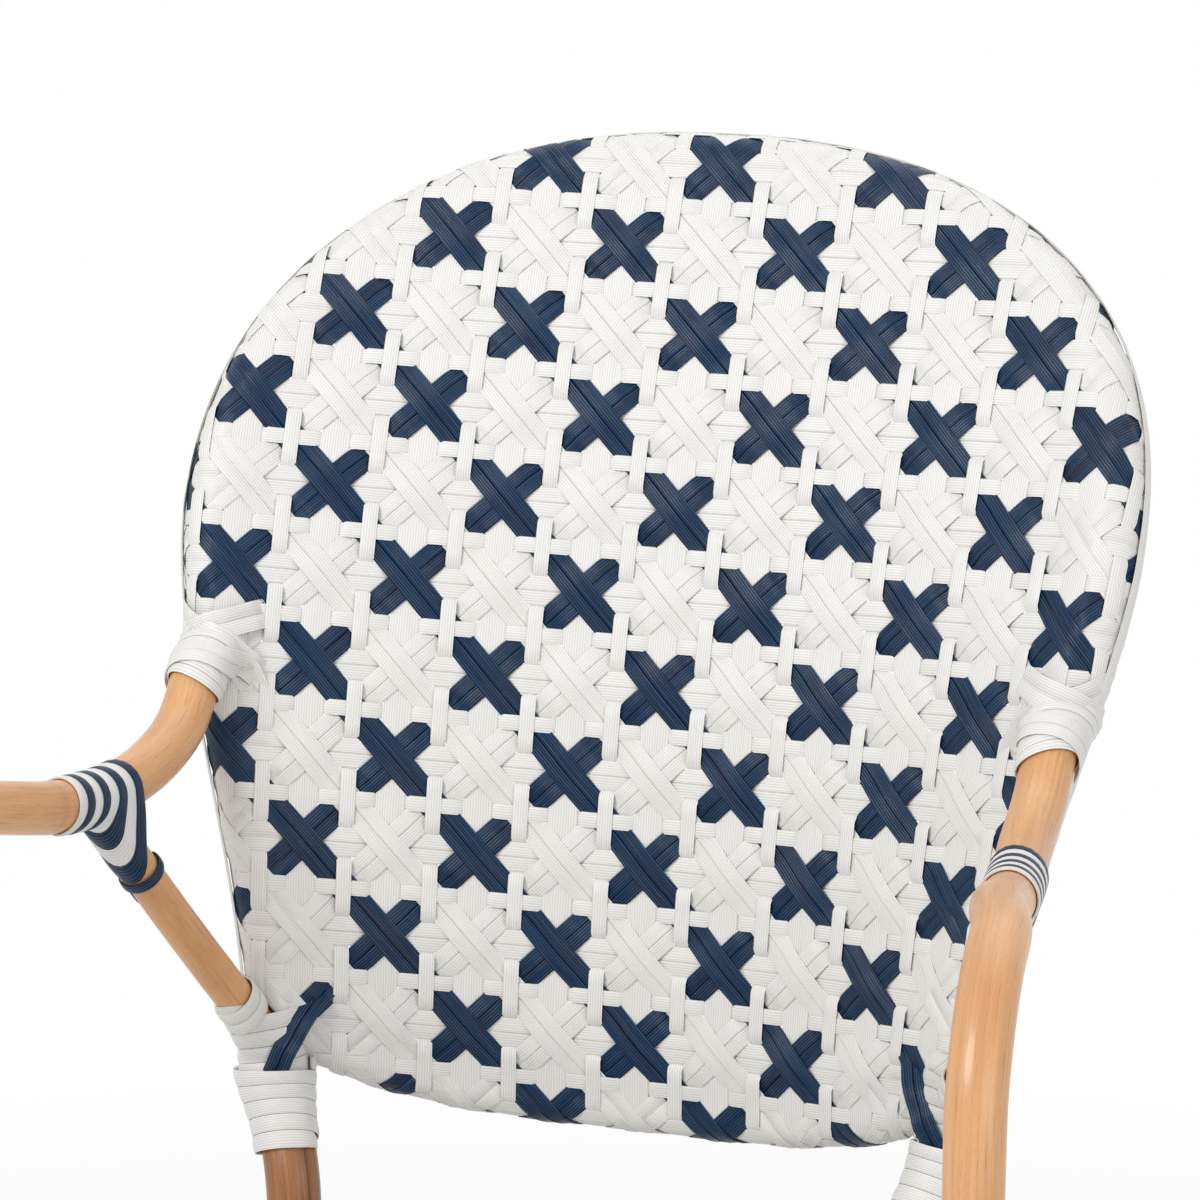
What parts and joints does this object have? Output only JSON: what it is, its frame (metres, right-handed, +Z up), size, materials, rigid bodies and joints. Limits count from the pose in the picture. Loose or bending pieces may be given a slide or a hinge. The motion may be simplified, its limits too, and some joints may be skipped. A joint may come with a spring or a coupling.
{
  "type": "rattan bistro armchair",
  "caption": "Rattan bistro armchair: bent pole frame, rounded woven back with a crossed pattern, woven seat, looped arms with striped strand bindings, arches and stretchers under the seat.",
  "frame": {"origin": "on the floor, below the centre of the chair's bounding box", "axes": "+Z up, the front of the chair faces -Y, and +X is towards the sitter's left hand"},
  "size_m": [0.4912, 0.5322, 0.9164],
  "materials": {
    "honey_rattan": "peeled light rattan pole under a satin lacquer, with fine lengthwise grain",
    "brown_rattan": "brown rattan pole with its skin on, satin lacquer and dark streaks",
    "white_strand": "off-white flat plastic strand with fine lengthwise ribs and a low sheen",
    "navy_strand": "navy and white flat plastic strand in turn, with fine lengthwise ribs and a low sheen",
    "steel": "zinc-plated steel",
    "nylon": "dark moulded nylon"
  },
  "bodies": {
    "root": {"back_frame_pole": "brown_rattan", "back_bottom_rail": "brown_rattan", "back_weave_panel": "white_strand", "arm_pole_left": "honey_rattan", "arm_strut_left": "honey_rattan", "arm_joint_binding_left": "navy_strand", "arm_hoop_binding_left": "white_strand", "waist_binding_left": "white_strand", "arm_pole_right": "honey_rattan", "arm_strut_right": "honey_rattan", "arm_joint_binding_right": "navy_strand", "arm_hoop_binding_right": "white_strand", "waist_binding_right": "white_strand", "seat_ring_pole": "brown_rattan", "seat_rail_front": "brown_rattan", "seat_rail_rear": "brown_rattan", "seat_weave": "white_strand", "seat_arch_front": "honey_rattan", "seat_arch_rear": "honey_rattan", "seat_arch_left": "honey_rattan", "seat_arch_right": "honey_rattan", "seat_binding_front_left": "white_strand", "leg_lashing_front_left": "white_strand", "stretcher_binding_front_left": "white_strand", "seat_binding_rear_left": "white_strand", "leg_lashing_rear_left": "white_strand", "stretcher_binding_rear_left": "white_strand", "seat_binding_front_right": "white_strand", "leg_lashing_front_right": "white_strand", "stretcher_binding_front_right": "white_strand", "seat_binding_rear_right": "white_strand", "leg_lashing_rear_right": "white_strand", "stretcher_binding_rear_right": "white_strand", "side_stretcher_left": "honey_rattan", "cross_binding_left": "white_strand", "side_stretcher_right": "honey_rattan", "cross_binding_right": "white_strand", "cross_stretcher": "honey_rattan", "seat_screw_front_left": "steel", "seat_screw_rear_left": "steel", "seat_screw_front_right": "steel", "seat_screw_rear_right": "steel", "arm_screw_left": "steel", "strut_screw_left": "steel", "arm_screw_right": "steel", "strut_screw_right": "steel", "arch_screw_front": "steel", "arch_screw_rear": "steel", "arch_screw_left": "steel", "arch_screw_right": "steel", "foot_glide_front_left": "nylon", "foot_glide_rear_left": "nylon", "foot_glide_front_right": "nylon", "foot_glide_rear_right": "nylon"}
  },
  "joints": []
}
